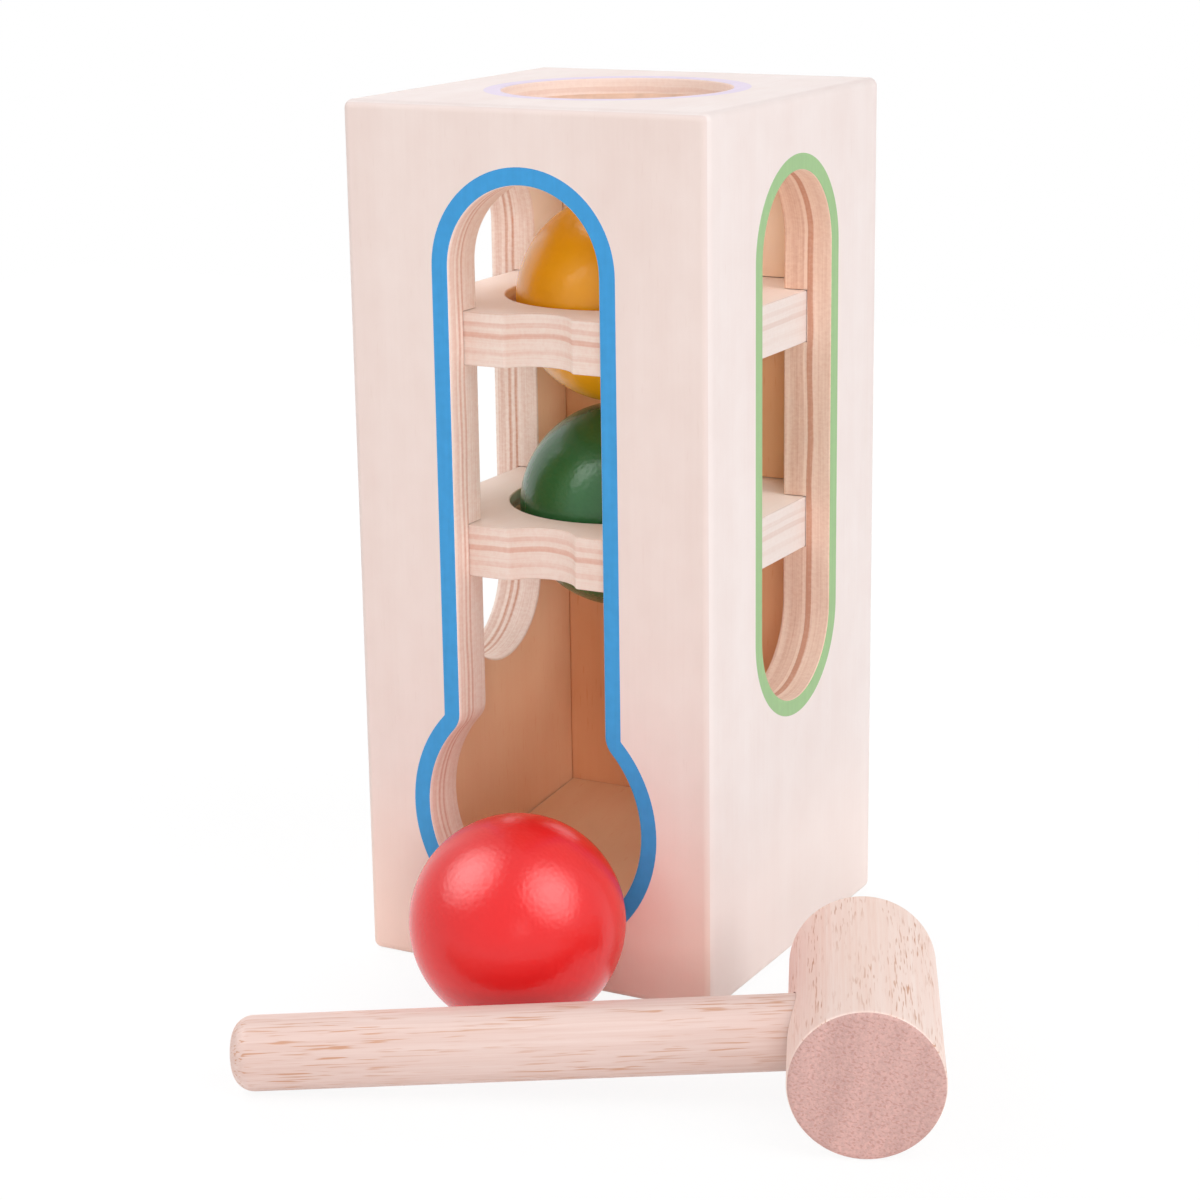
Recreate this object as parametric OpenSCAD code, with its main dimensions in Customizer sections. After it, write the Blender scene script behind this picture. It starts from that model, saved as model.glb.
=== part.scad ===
// Ball pounding toy: a square plywood tower with a keyhole front and a window in
// each side, two shelves and a top that hold a ball in soft rings, a ramp that
// rolls a pounded ball out of the front, three loose balls and a hammer.
// Millimetres. The origin is the middle of the tower's underside, the keyhole
// faces -Y and +Z is up.

/* [Tower] */
// Outer width of the tower, left to right
tower_w = 90; // [84:1:110]
// Outer depth of the tower, front to back
tower_d = 90; // [84:1:110]
// Outer height of the tower
tower_h = 200; // [190:1:230]
// Thickness of the walls and the top
wall_t = 12; // [10:0.5:14]
// Thickness of the base board between the walls
base_t = 12; // [8:0.5:14]
// Rounding of the tower's outer edges
edge_r = 2; // [0.5:0.5:4]

/* [Front keyhole] */
// Width of the slot above the exit hole
slot_w = 37.6; // [28:0.2:40]
// Distance from the tower's top to the top of the slot
slot_drop = 17; // [14:0.5:30]
// Room around a ball in the exit hole, on the radius
exit_clear = 3.5; // [2:0.5:5]
// Height of the exit hole's centre above the centre of a ball at the ramp's foot
exit_lift = 0.6; // [0:0.1:2]
// Rounding where the slot meets the exit hole
neck_r = 6; // [2:0.5:8]

/* [Windows] */
// Width of each window
window_w = 36.8; // [28:0.2:40]
// Distance from the tower's top to the top of a window
window_drop = 16.6; // [14:0.2:30]
// Height of the bottom of a window above the table
window_sill = 61.9; // [50:0.1:80]

/* [Shelves] */
// Thickness of each shelf
shelf_t = 12; // [9:0.5:14]
// Distance from the tower's top to the upper shelf's top face
shelf_drop = 46.4; // [42:0.2:54]
// How far each shelf edge is let into the wall
let_in = 5.7; // [3:0.1:7]
// Radius of the scallop in the middle of each shelf's front edge
scallop_r = 10; // [8:0.5:12]
// Depth of the scallop in each shelf's front edge
scallop_depth = 4.7; // [2:0.1:5]

/* [Ramp] */
// Height of the ramp's front edge above the base board
ramp_front_h = 2.8; // [2:0.1:5]
// Height of the ramp's back edge above the base board
ramp_back_h = 8.7; // [6:0.1:12]

/* [Balls] */
// Diameter of each ball
ball_d = 48; // [46:0.5:50]
// Depth of a seated ball's centre below the shelf's top face
ball_seat = 1.4; // [0.5:0.1:3]
// Gap between the balls on the two shelves
ball_gap = 0.6; // [0.4:0.1:2]
// Sideways place of the ball that lies at the exit
loose_ball_x = 8.3; // [0:0.1:12]

/* [Grip rings] */
// Room around a ball in each shelf hole, on the radius
bore_clear = 2.3; // [1.5:0.1:3]
// Depth of the ring's groove beyond the hole
ring_seat = 2.2; // [1.5:0.1:2.5]
// Height of each ring
ring_h = 4; // [3:0.2:5]
// Depth of the ring's groove below the board's top face
ring_drop = 3.5; // [2.5:0.1:4]

/* [Hammer] */
// Diameter of the hammer's head
head_d = 32; // [28:0.5:40]
// Length of the hammer's head
head_l = 63.6; // [50:0.2:80]
// Rounding of the head's rims
head_edge = 1.2; // [0.4:0.2:3]
// Diameter of the handle
handle_d = 16; // [12:0.5:20]
// Length of the handle from the head's axis to its tip
handle_l = 133; // [110:1:160]
// Rounding of the handle's tip
tip_r = 4.5; // [2:0.5:5]
// Distance of the handle from the middle of the head
handle_shift = 3.5; // [0:0.5:8]
// How far the handle's socket runs past the head's axis
socket_past = 5; // [2:0.5:8]
// Place of the head's middle, left to right
head_x = 91.1; // [88:0.1:130]
// Place of the head's middle, front to back
head_y = -66.6; // [-100:0.1:-60]
// Turn of the hammer on the table, in degrees
head_turn = 24; // [15:1:30]

/* [Fits] */
// Gap between boards that slide together, and between a ring and its groove
fit = 0.2; // [0.1:0.05:0.3]
// Gap between a ball and what it touches
touch = 0.35; // [0.3:0.05:0.6]

/* [Hidden] */
$fn = 96;

// Overlap that carries a cut past the face that it starts from
past = 5;
inner_w = tower_w - 2 * wall_t;
inner_d = tower_d - 2 * wall_t;
inner_top = tower_h - wall_t;
reach = wall_t + past;
ball_r = ball_d / 2;

// Heights of the top faces of the shelves, a ball and its gap apart
upper_z = tower_h - shelf_drop;
lower_z = upper_z - ball_d - ball_gap;
shelf_w = inner_w + 2 * let_in;
shelf_d = inner_d + 2 * let_in;

// The slot ends in a half round, and the exit hole is centred on a ball at the ramp's foot
slot_r = slot_w / 2;
slot_cz = tower_h - slot_drop - slot_r;
exit_r = ball_r + exit_clear;
exit_z = base_t + ramp_front_h + ball_r + exit_lift;
neck_x = slot_r + neck_r;
neck_z = exit_z + sqrt(pow(exit_r + neck_r, 2) - pow(neck_x, 2));
neck_share = exit_r / (exit_r + neck_r);

window_r = window_w / 2;
window_top = tower_h - window_drop - window_r;
window_low = window_sill + window_r;

bore_r = ball_r + bore_clear;
groove_r = bore_r + ring_seat;
ring_r = groove_r - fit;
ring_in = ball_r + touch;
nose_r = ring_h / 2;

// The ball at the exit lies on the table against the rim of the exit hole
rim_room = exit_r - norm([loose_ball_x, exit_z - ball_r]);
loose_ball_y = -tower_d / 2 - sqrt(pow(ball_r + touch, 2) - pow(rim_room, 2));

head_r = head_d / 2;
handle_r = handle_d / 2;
handle_tilt = asin((head_r - handle_r) / (handle_l - tip_r));

module round_rect(w, h, r) {
    square([w - 2 * r, h], center = true);
    square([w, h - 2 * r], center = true);
    for (sx = [-1, 1])
        for (sy = [-1, 1])
            translate([sx * (w / 2 - r), sy * (h / 2 - r)])
                circle(r);
}

// Turns an outline in Y and Z into a solid along X
module along_x(length) {
    rotate([90, 0, 90])
        linear_extrude(length, center = true)
            children();
}

// Turns an outline in X and Z into a solid along Y
module along_y(length) {
    rotate([90, 0, 0])
        linear_extrude(length, center = true)
            children();
}

// The tower's outer shape, with every edge rounded
module tower_block() {
    intersection() {
        linear_extrude(tower_h)
            round_rect(tower_w, tower_d, edge_r);
        translate([0, 0, tower_h / 2])
            along_x(tower_w + 2 * past)
                round_rect(tower_d, tower_h, edge_r);
        translate([0, 0, tower_h / 2])
            along_y(tower_d + 2 * past)
                round_rect(tower_w, tower_h, edge_r);
    }
}

// The outline of a wall seen from above, mitred at both ends
module plan_mitre(half_length, half_depth) {
    polygon([
        [-half_length, -half_depth],
        [-half_length - reach, -half_depth - reach],
        [half_length + reach, -half_depth - reach],
        [half_length, -half_depth]]);
}

// The outline of a wall seen along its length, mitred under the top
module side_mitre(half_depth) {
    polygon([
        [-half_depth, -past],
        [-half_depth, inner_top],
        [-half_depth - reach, inner_top + reach],
        [-half_depth - reach, -past]]);
}

// The outline of the top seen from one side, mitred at both ends
module top_mitre(half_length) {
    polygon([
        [-half_length, inner_top],
        [half_length, inner_top],
        [half_length + reach, inner_top + reach],
        [-half_length - reach, inner_top + reach]]);
}

module front_blank() {
    intersection() {
        tower_block();
        translate([0, 0, -past])
            linear_extrude(tower_h + 2 * past)
                plan_mitre(inner_w / 2, inner_d / 2);
        along_x(tower_w + 2 * past)
            side_mitre(inner_d / 2);
    }
}

module left_blank() {
    intersection() {
        tower_block();
        translate([0, 0, -past])
            linear_extrude(tower_h + 2 * past)
                rotate(-90)
                    plan_mitre(inner_d / 2, inner_w / 2);
        along_y(tower_d + 2 * past)
            side_mitre(inner_w / 2);
    }
}

// The grooves that the shelves are let into
module shelf_grooves() {
    for (z = [upper_z, lower_z])
        translate([-shelf_w / 2 - fit, -shelf_d / 2 - fit, z - shelf_t])
            cube([shelf_w + 2 * fit, shelf_d + 2 * fit, shelf_t + fit]);
}

// The curved corner between the slot and the exit hole, on one side
module neck(side) {
    difference() {
        polygon([
            [0, exit_z],
            [side * neck_x * neck_share, exit_z + (neck_z - exit_z) * neck_share],
            [side * neck_x, neck_z],
            [0, neck_z]]);
        translate([side * neck_x, neck_z])
            circle(neck_r);
    }
}

module keyhole() {
    translate([0, -inner_d / 2 - wall_t / 2, 0])
        along_y(wall_t + 2 * past) {
            translate([-slot_r, exit_z])
                square([slot_w, slot_cz - exit_z]);
            translate([0, slot_cz])
                circle(slot_r);
            translate([0, exit_z])
                circle(exit_r);
            for (side = [-1, 1])
                neck(side);
        }
}

module window_outline() {
    translate([-window_r, window_low])
        square([window_w, window_top - window_low]);
    for (z = [window_low, window_top])
        translate([0, z])
            circle(window_r);
}

module side_window(side) {
    translate([side * (inner_w / 2 + wall_t / 2), 0, 0])
        along_x(wall_t + 2 * past)
            window_outline();
}

module back_window() {
    translate([0, inner_d / 2 + wall_t / 2, 0])
        along_y(wall_t + 2 * past)
            window_outline();
}

// A ball's hole through a board, with the groove for its ring
module ring_bore(top_z, board_t) {
    translate([0, 0, top_z - board_t - past])
        cylinder(r = bore_r, h = board_t + 2 * past);
    translate([0, 0, top_z - ring_drop - ring_h - fit])
        cylinder(r = groove_r, h = ring_h + fit);
}

module shelf(top_z) {
    difference() {
        translate([-shelf_w / 2, -shelf_d / 2, top_z - shelf_t])
            cube([shelf_w, shelf_d, shelf_t]);
        ring_bore(top_z, shelf_t);
        translate([0, -shelf_d / 2 - scallop_r + scallop_depth, top_z - shelf_t - past])
            cylinder(r = scallop_r, h = shelf_t + 2 * past);
    }
}

// A soft ring with a half-round nose that reaches in to the ball
module grip_ring(top_z) {
    translate([0, 0, top_z - ring_drop - ring_h - fit])
        rotate_extrude() {
            translate([ring_in + nose_r, 0])
                square([ring_r - ring_in - nose_r, ring_h]);
            translate([ring_in + nose_r, nose_r])
                circle(nose_r);
        }
}

module at_hammer() {
    translate([head_x, head_y, head_r])
        rotate([0, 0, head_turn])
            rotate([0, -handle_tilt, 0])
                children();
}

module front_wall() {
    color("burlywood")
        difference() {
            front_blank();
            keyhole();
            shelf_grooves();
        }
}

module back_wall() {
    color("tan")
        difference() {
            mirror([0, 1, 0])
                front_blank();
            back_window();
            shelf_grooves();
        }
}

module left_wall() {
    color("wheat")
        difference() {
            left_blank();
            side_window(-1);
            shelf_grooves();
        }
}

module right_wall() {
    color("wheat")
        difference() {
            mirror([1, 0, 0])
                left_blank();
            side_window(1);
            shelf_grooves();
        }
}

module top_plate() {
    color("bisque")
        difference() {
            intersection() {
                tower_block();
                along_x(tower_w + 2 * past)
                    top_mitre(inner_d / 2);
                along_y(tower_d + 2 * past)
                    top_mitre(inner_w / 2);
            }
            ring_bore(tower_h, wall_t);
        }
}

module base_plate() {
    color("peru")
        translate([-inner_w / 2, -inner_d / 2, 0])
            cube([inner_w, inner_d, base_t]);
}

module ramp() {
    color("sandybrown")
        translate([0, 0, base_t])
            along_x(inner_w - 2 * fit)
                polygon([
                    [-inner_d / 2 + fit, 0],
                    [inner_d / 2 - fit, 0],
                    [inner_d / 2 - fit, ramp_back_h],
                    [-inner_d / 2 + fit, ramp_front_h]]);
}

module upper_shelf() {
    color("moccasin")
        shelf(upper_z);
}

module lower_shelf() {
    color("navajowhite")
        shelf(lower_z);
}

module top_grip_ring() {
    color("saddlebrown")
        grip_ring(tower_h);
}

module upper_grip_ring() {
    color("saddlebrown")
        grip_ring(upper_z);
}

module lower_grip_ring() {
    color("saddlebrown")
        grip_ring(lower_z);
}

module yellow_ball() {
    color("orange")
        translate([0, 0, upper_z - ball_seat])
            sphere(ball_r);
}

module green_ball() {
    color("seagreen")
        translate([0, 0, lower_z - ball_seat])
            sphere(ball_r);
}

module red_ball() {
    color("red")
        translate([loose_ball_x, loose_ball_y, ball_r])
            sphere(ball_r);
}

module hammer_head() {
    color("linen")
        at_hammer()
            difference() {
                rotate([90, 0, 0])
                    rotate_extrude()
                        intersection() {
                            round_rect(head_d, head_l, head_edge);
                            translate([0, -head_l])
                                square([head_d, 2 * head_l]);
                        }
                translate([socket_past, -handle_shift, 0])
                    rotate([0, -90, 0])
                        cylinder(r = handle_r + fit, h = socket_past + head_r + past);
            }
}

module hammer_handle() {
    color("antiquewhite")
        at_hammer()
            translate([socket_past, -handle_shift, 0])
                rotate([0, -90, 0])
                    rotate_extrude() {
                        square([handle_r - tip_r, socket_past + handle_l]);
                        square([handle_r, socket_past + handle_l - tip_r]);
                        translate([handle_r - tip_r, socket_past + handle_l - tip_r])
                            intersection() {
                                circle(tip_r);
                                square([tip_r, tip_r]);
                            }
                    }
}

front_wall();
back_wall();
left_wall();
right_wall();
top_plate();
base_plate();
ramp();
upper_shelf();
lower_shelf();
top_grip_ring();
upper_grip_ring();
lower_grip_ring();
yellow_ball();
green_ball();
red_ball();
hammer_head();
hammer_handle();
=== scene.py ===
import math

import bmesh
import bpy
from bpy.props import FloatProperty, FloatVectorProperty, PointerProperty
from mathutils import Matrix, Vector, noise
from mathutils.geometry import tessellate_polygon


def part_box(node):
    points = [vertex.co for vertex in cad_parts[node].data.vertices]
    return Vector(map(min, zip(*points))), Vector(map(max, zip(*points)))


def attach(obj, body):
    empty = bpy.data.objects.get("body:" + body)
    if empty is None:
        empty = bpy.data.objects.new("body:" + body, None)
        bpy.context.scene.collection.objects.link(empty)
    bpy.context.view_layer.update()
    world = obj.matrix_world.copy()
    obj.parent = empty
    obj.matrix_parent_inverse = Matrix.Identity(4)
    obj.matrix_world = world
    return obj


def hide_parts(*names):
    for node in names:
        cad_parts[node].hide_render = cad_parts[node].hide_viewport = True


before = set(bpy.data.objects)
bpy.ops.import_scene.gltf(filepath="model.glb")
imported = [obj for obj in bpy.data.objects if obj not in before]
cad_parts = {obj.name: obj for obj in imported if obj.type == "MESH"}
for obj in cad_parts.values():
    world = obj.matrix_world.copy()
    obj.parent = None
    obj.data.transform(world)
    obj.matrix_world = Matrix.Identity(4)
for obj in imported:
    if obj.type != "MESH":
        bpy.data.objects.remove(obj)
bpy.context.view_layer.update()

bl_info = {
    "name": "Ball pounding toy",
    "version": (1, 0, 0),
    "blender": (4, 5, 0),
    "location": "3D View > Sidebar > Pounding toy",
    "description": "Plywood tower with painted rims, three painted balls and a turned hammer",
    "category": "Object",
}

TOP_LOW, TOP_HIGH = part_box("top_plate")
SHELF_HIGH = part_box("upper_shelf")[1]
BALL_LOW, BALL_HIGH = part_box("yellow_ball")
RING_LOW, RING_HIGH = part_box("top_grip_ring")
RAMP_LOW, RAMP_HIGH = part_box("ramp")

# Which material of a board a face takes
FACE, SAWN, RIM, INSIDE = range(4)

# How dark plywood is through its thickness, from the outer face to the inner one
WALL_LAYERS = ((0.0, 0.0), (0.07, 0.0), (0.09, 0.3), (0.23, 0.4), (0.26, 0.05), (0.31, 0.1),
               (0.34, 0.8), (0.38, 0.7), (0.41, 0.1), (0.46, 0.1), (0.49, 0.8), (0.52, 0.7),
               (0.55, 0.1), (0.8, 0.18), (1.0, 0.12))
RIGHT_LAYERS = ((0.0, 0.25), (0.03, 0.1), (0.27, 0.15), (0.29, 0.0), (0.37, 0.05), (0.39, 0.85),
                (0.49, 0.95), (0.505, 0.0), (0.56, 0.0), (0.58, 0.35), (0.68, 0.25), (0.7, 0.4),
                (0.83, 0.3), (0.85, 0.05), (0.94, 0.1), (0.96, 0.4), (1.0, 0.3))
SHELF_LAYERS = ((0.0, 0.05), (0.16, 0.0), (0.18, 0.45), (0.25, 0.5), (0.275, 0.05), (0.36, 0.1),
                (0.38, 0.75), (0.46, 0.85), (0.48, 0.1), (0.66, 0.0), (0.68, 0.3), (0.76, 0.35),
                (0.78, 0.05), (0.92, 0.0))

NOISE_MIDDLE = (0.3, 0.7)  # nearly all of a noise lies between these
EDGE_DEPTH = 0.0005        # how deep a sanded edge turns fully paler
LIT_HIGH_PART = (0.13, 0.165)  # heights between which painted light makes the inner faces paler
BOUNCE_HEIGHT = 0.055        # how far up the painted bounce light at the walls' feet reaches
MITRE_TURN = math.acos(1 / math.sqrt(3))  # slope where three rounded edges meet
BEFORE_MITRE = 0.87        # one more slope, just short of that
EVEN_DEPTHS = (0.6, 0.8)   # shares of an edge's rounding below that
MARKS, MARKS_APART = 90, 300  # turning marks to a metre, and how far they differ by height
OVERSHOOT = 0.005          # how far a cutter runs out of the wood
SHARP = math.radians(32)   # edges sharper than this stay crisp
CARD_STEPS = (1.4, 1.0, 0.6)  # widths of the discs that make a card fade at its edge
CARD_GAP = 0.01            # distance between those discs
FLOOR_FADE = (0.3, 0.8)    # shares of the floor's half width where its shadow fades out
FLOOR_WHITE = 0.88         # how far the floor is whitened beside the toy
PAPER_GREY, PAPER_WHITE = (0.93, 0.93, 0.93), (0.97, 0.97, 0.97)
PAPER_GLOW = 1.02          # what the camera sees of the whitened floor


def srgb(red, green, blue):
    """Linear colour of an 8-bit screen colour."""
    def linear(value):
        value /= 255
        return value / 12.92 if value <= 0.04045 else ((value + 0.055) / 1.055) ** 2.4
    return tuple(linear(value) for value in (red, green, blue))


def label(text):
    """A property's name, which is the text up to its colon, and its description."""
    return {"name": text.split(":")[0], "description": text}


def length(text, default):
    return FloatProperty(**label(text), default=default, min=0.0, precision=4, unit="LENGTH")


def angle(text, degrees):
    return FloatProperty(**label(text), default=math.radians(degrees), precision=4,
                         unit="ROTATION")


def power(text, default):
    return FloatProperty(**label(text), default=default, min=0.0, subtype="POWER", unit="POWER")


def colour(text, *screen):
    return FloatVectorProperty(**label(text), default=srgb(*screen), size=3, min=0.0, max=1.0,
                               subtype="COLOR")


class ToySizes(bpy.types.PropertyGroup):
    """Lengths of the toy's pieces."""
    tower_width: length("Tower width: outside, left to right",
                        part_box("right_wall")[1].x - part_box("left_wall")[0].x)
    tower_depth: length("Tower depth: outside, front to back",
                        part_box("back_wall")[1].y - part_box("front_wall")[0].y)
    tower_height: length("Tower height", TOP_HIGH.z)
    board: length("Board thickness: walls, top and shelves", TOP_HIGH.z - TOP_LOW.z)
    edge_round: length("Outer edge rounding", 0.002)
    arris: length("Inner arris: taken off where boards meet inside", 0.0003)
    sawn_round: length("Small edge rounding: sanded", 0.0004)
    slot_width: length("Slot width", 0.0376)
    slot_drop: length("Slot drop: from the tower's top to the slot's top", 0.017)
    exit_radius: length("Exit radius: round foot of the keyhole", 0.0275)
    exit_height: length("Exit height: of the exit's centre", 0.0394)
    neck_round: length("Neck rounding: between the slot and the exit", 0.006)
    line_neck: length("Rim neck rounding: of the painted line", 0.0006)
    window_width: length("Window width", 0.0368)
    window_drop: length("Window drop: from the tower's top to a window's top", 0.0166)
    window_sill: length("Window sill: height of a window's lowest point", 0.0619)
    rim_width: length("Rim width: painted line round the keyhole and the top hole", 0.004)
    side_rim_width: length("Side rim width: painted line round a window", 0.0037)
    let_in: length("Shelf let-in: how far a shelf goes into a wall",
                   SHELF_HIGH.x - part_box("base_plate")[1].x)
    bore_radius: length("Bore radius: of each ball hole", 0.0263)
    groove_radius: length("Groove radius: round a grip ring", 0.0285)
    ring_drop: length("Ring drop: from a board's top face to its ring", TOP_HIGH.z - RING_HIGH.z)
    ring_height: length("Ring height", RING_HIGH.z - RING_LOW.z)
    ring_inner: length("Ring inner radius", 0.02435)
    ring_outer: length("Ring outer radius", RING_HIGH.x)
    scallop_radius: length("Scallop radius: in a shelf's front edge", 0.010)
    scallop_depth: length("Scallop depth: in a shelf's front edge", 0.0047)
    shoulder: length("Scallop shoulder: rounding on both its sides", 0.0012)
    ramp_front: length("Ramp front height", 0.0028)
    ball_radius: length("Ball radius", (BALL_HIGH.z - BALL_LOW.z) / 2)
    ball_uneven: length("Ball unevenness: depth of the turning marks", 0.00006)
    head_radius: length("Head radius", 0.016)
    head_length: length("Head length", 0.0636)
    head_round: length("Head rim rounding", 0.0012)
    head_place: FloatVectorProperty(**label("Head place: across and in depth"), size=2,
                                    default=(0.0911, -0.0666), precision=4, unit="LENGTH")
    head_turn: angle("Hammer turn: on the table", 24)
    handle_radius: length("Handle radius", 0.008)
    handle_length: length("Handle length: from the head's axis to the tip", 0.133)
    handle_tip: length("Handle tip rounding", 0.0045)
    handle_shift: length("Handle shift: away from the head's middle", 0.0035)
    socket_past: length("Socket depth: past the head's axis", 0.005)
    fit: length("Fit: gap between boards that slide together", 0.0002)


class ToyColours(bpy.types.PropertyGroup):
    """Colours of the toy's woods and paints."""
    veneer_pale: colour("Veneer, pale: front and back", 242, 224, 217)
    veneer_deep: colour("Veneer, deep: front and back", 230, 206, 197)
    # Warmer foot of the front: painted bounce light from the red ball and the floor
    painted_bounce_front: colour("Veneer, foot: front", 255, 218, 200)
    # Paler, cooler veneer of the sides and top: painted light where more light falls; its deep tone
    # is also the sanded edge of the front and back
    lit_wash_pale: colour("Washed veneer, pale: sides and top", 241, 230, 227)
    lit_wash_and_edge_deep: colour("Washed veneer, deep: sides and top", 231, 213, 208)
    # Paler foot of the sides and back: painted light that lifts the shade near the floor
    painted_bounce_sides: colour("Washed veneer, foot: sides and back", 255, 236, 228)
    # Paler than the walls' veneer: painted light on the shelves, which lie in shade
    lit_shelf_pale: colour("Shelf veneer, pale", 254, 241, 233)
    lit_shelf_deep: colour("Shelf veneer, deep", 247, 228, 217)
    # Warmer, deeper tint: unsealed inner faces, with the orange of the shaded interior painted in
    shaded_inside_pale: colour("Inside veneer, pale: unsealed inner faces", 253, 213, 178)
    shaded_inside_deep: colour("Inside veneer, deep: unsealed inner faces", 245, 193, 154)
    # Painted light on the inner faces above the shelves
    painted_light_high: colour("Inside veneer, high: walls above the shelves", 255, 240, 224)
    # Orange of the shaded inner back, with the red ball's bounce, painted in
    shaded_back_pale: colour("Inside back, pale", 253, 200, 156)
    shaded_back_deep: colour("Inside back, deep", 242, 174, 128)
    ply_pale: colour("Ply, pale: layers on a wall's sawn edge", 254, 237, 227)
    ply_deep: colour("Ply, deep: cross layers on a sawn edge", 228, 182, 164)
    warm_pale: colour("Warm ply, pale: layers in the right window", 252, 223, 204)
    warm_deep: colour("Warm ply, deep: cross layers in the side windows", 214, 160, 136)
    scallop_pale: colour("Shelf ply, pale: layers on a shelf's front edge", 243, 223, 211)
    end_pale: colour("Shelf end, pale: layers on a shelf's ends", 235, 222, 216)
    end_deep: colour("Shelf end, deep: cross layers on a shelf's ends", 226, 204, 195)
    bore_pale: colour("Top hole, pale: layers in the hole", 251, 231, 221)
    bore_deep: colour("Top hole, deep: cross layers in the hole", 234, 202, 188)
    rim_front: colour("Front rim: paint round the keyhole", 54, 154, 216)
    rim_side: colour("Side rim: paint round the windows", 153, 190, 132)
    rim_top: colour("Top rim: paint round the top hole", 225, 209, 230)
    ball_yellow: colour("Upper ball", 255, 176, 14)
    ball_green: colour("Lower ball", 50, 111, 60)
    ball_red: colour("Loose ball", 232, 28, 30)
    ring: colour("Grip rings", 224, 186, 162)
    head_pale: colour("Head, pale", 250, 229, 220)
    head_deep: colour("Head, deep", 241, 208, 194)
    handle_pale: colour("Handle, pale", 233, 208, 200)
    handle_deep: colour("Handle, deep", 218, 183, 171)
    hardwood_pore: colour("Hardwood pores", 204, 148, 116)
    end_grain: colour("End grain: sawn ends of the hammer", 206, 166, 159)


class ToyStage(bpy.types.PropertyGroup):
    """Camera and light."""
    camera_place: FloatVectorProperty(**label("Camera place"), size=3, subtype="TRANSLATION",
                                      default=(0.306351, -0.57555, 0.258246), unit="LENGTH")
    camera_yaw: angle("Camera yaw: turn about the vertical", -28.572)
    camera_pitch: angle("Camera pitch: down is negative", -15.235)
    camera_roll: angle("Camera roll", -0.831)
    lens: FloatProperty(**label("Lens: focal length on a 36 mm wide sensor"), default=85.57,
                        min=1.0, subtype="DISTANCE_CAMERA")
    camera_shift: FloatVectorProperty(**label("Camera shift: share of the picture's width"),
                                      default=(0.0023, -0.002), size=2, precision=4)
    left_power: power("Left lamp: large, at the upper left", 3.5)
    right_power: power("Right lamp: large, at the upper right", 4.6)
    right_side_power: power("Right side lamp: large, beside the right window", 2.0)
    back_power: power("Back lamp: large, behind the left window", 10.0)
    fill_power: power("Fill lamp: small and low, beside the camera", 3.4)
    right_low_power: power("Low right lamp: small, beside the right window", 1.7)
    front_power: power("Front lamp: small and low, before the keyhole", 0.6)
    card_power: power("Reflected cards: show only as gloss", 20.0)
    large_side: length("Large lamp side", 0.9)
    small_side: length("Small lamp side", 0.3)
    card_side: length("Card width", 1.2)
    floor_half: length("Floor half width", 0.8)
    lamp_distance: length("Lamp distance: from the tower's middle", 1.4)
    sky: FloatProperty(**label("Room light: even, from all round"), default=0.46, min=0.0)


# Outlines


def arc(centre, radius, start, end, steps):
    """Points on an arc, both ends included, angles in radians."""
    return [(centre[0] + radius * math.cos(start + (end - start) * i / steps),
             centre[1] + radius * math.sin(start + (end - start) * i / steps))
            for i in range(steps + 1)]


def rectangle(left, right, low, high):
    return [(left, low), (right, low), (right, high), (left, high)]


def round_hole(radius):
    return arc((0, 0), radius, 0, math.tau, 128)[:-1]


def keyhole(sizes, grow, neck):
    """The keyhole, larger by grow on every side, with its own rounding at the neck."""
    half = sizes.slot_width / 2 + grow
    exit_radius = sizes.exit_radius + grow
    slot_z = sizes.tower_height - sizes.slot_drop - sizes.slot_width / 2
    neck_x = half + neck
    rise = math.sqrt((exit_radius + neck) ** 2 - neck_x ** 2)
    neck_z = sizes.exit_height + rise
    lean = math.atan2(rise, neck_x)
    return (arc((0, slot_z), half, 0, math.pi, 48)
            + arc((-neck_x, neck_z), neck, 0, -lean, 10)
            + arc((0, sizes.exit_height), exit_radius, math.pi - lean, math.tau + lean, 88)[1:-1]
            + arc((neck_x, neck_z), neck, math.pi + lean, math.pi, 10))


def window(sizes, grow):
    half = sizes.window_width / 2
    high = sizes.tower_height - sizes.window_drop - half
    low = sizes.window_sill + half
    return (arc((0, high), half + grow, 0, math.pi, 48)
            + arc((0, low), half + grow, math.pi, math.tau, 48))


def shelf_outline(sizes, half, inset):
    """A square shelf with a scallop in its front edge, smaller by inset on every side."""
    shoulder = sizes.shoulder
    scallop_y = -half - sizes.scallop_radius + sizes.scallop_depth
    shoulder_y = -half + shoulder
    shoulder_x = math.sqrt((sizes.scallop_radius + shoulder) ** 2 - (shoulder_y - scallop_y) ** 2)
    lean = math.atan2(shoulder_y - scallop_y, shoulder_x)
    edge = half - inset
    return ([(edge, -edge), (edge, edge), (-edge, edge), (-edge, -edge)]
            + arc((-shoulder_x, shoulder_y), shoulder - inset, -math.pi / 2, -lean, 6)
            + arc((0, scallop_y), sizes.scallop_radius + inset, math.pi - lean, lean, 32)[1:-1]
            + arc((shoulder_x, shoulder_y), shoulder - inset, math.pi + lean, 1.5 * math.pi, 6))


def sanded(radius, thickness, steps=4):
    """Growth and depth of a straight hole's side with both its rims sanded round."""
    near = [(radius * (1 - math.sin(turn)), radius * (1 - math.cos(turn)))
            for turn in (math.pi / 2 * i / steps for i in range(steps + 1))]
    return near + [(grow, thickness - depth) for grow, depth in reversed(near)]


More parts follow.
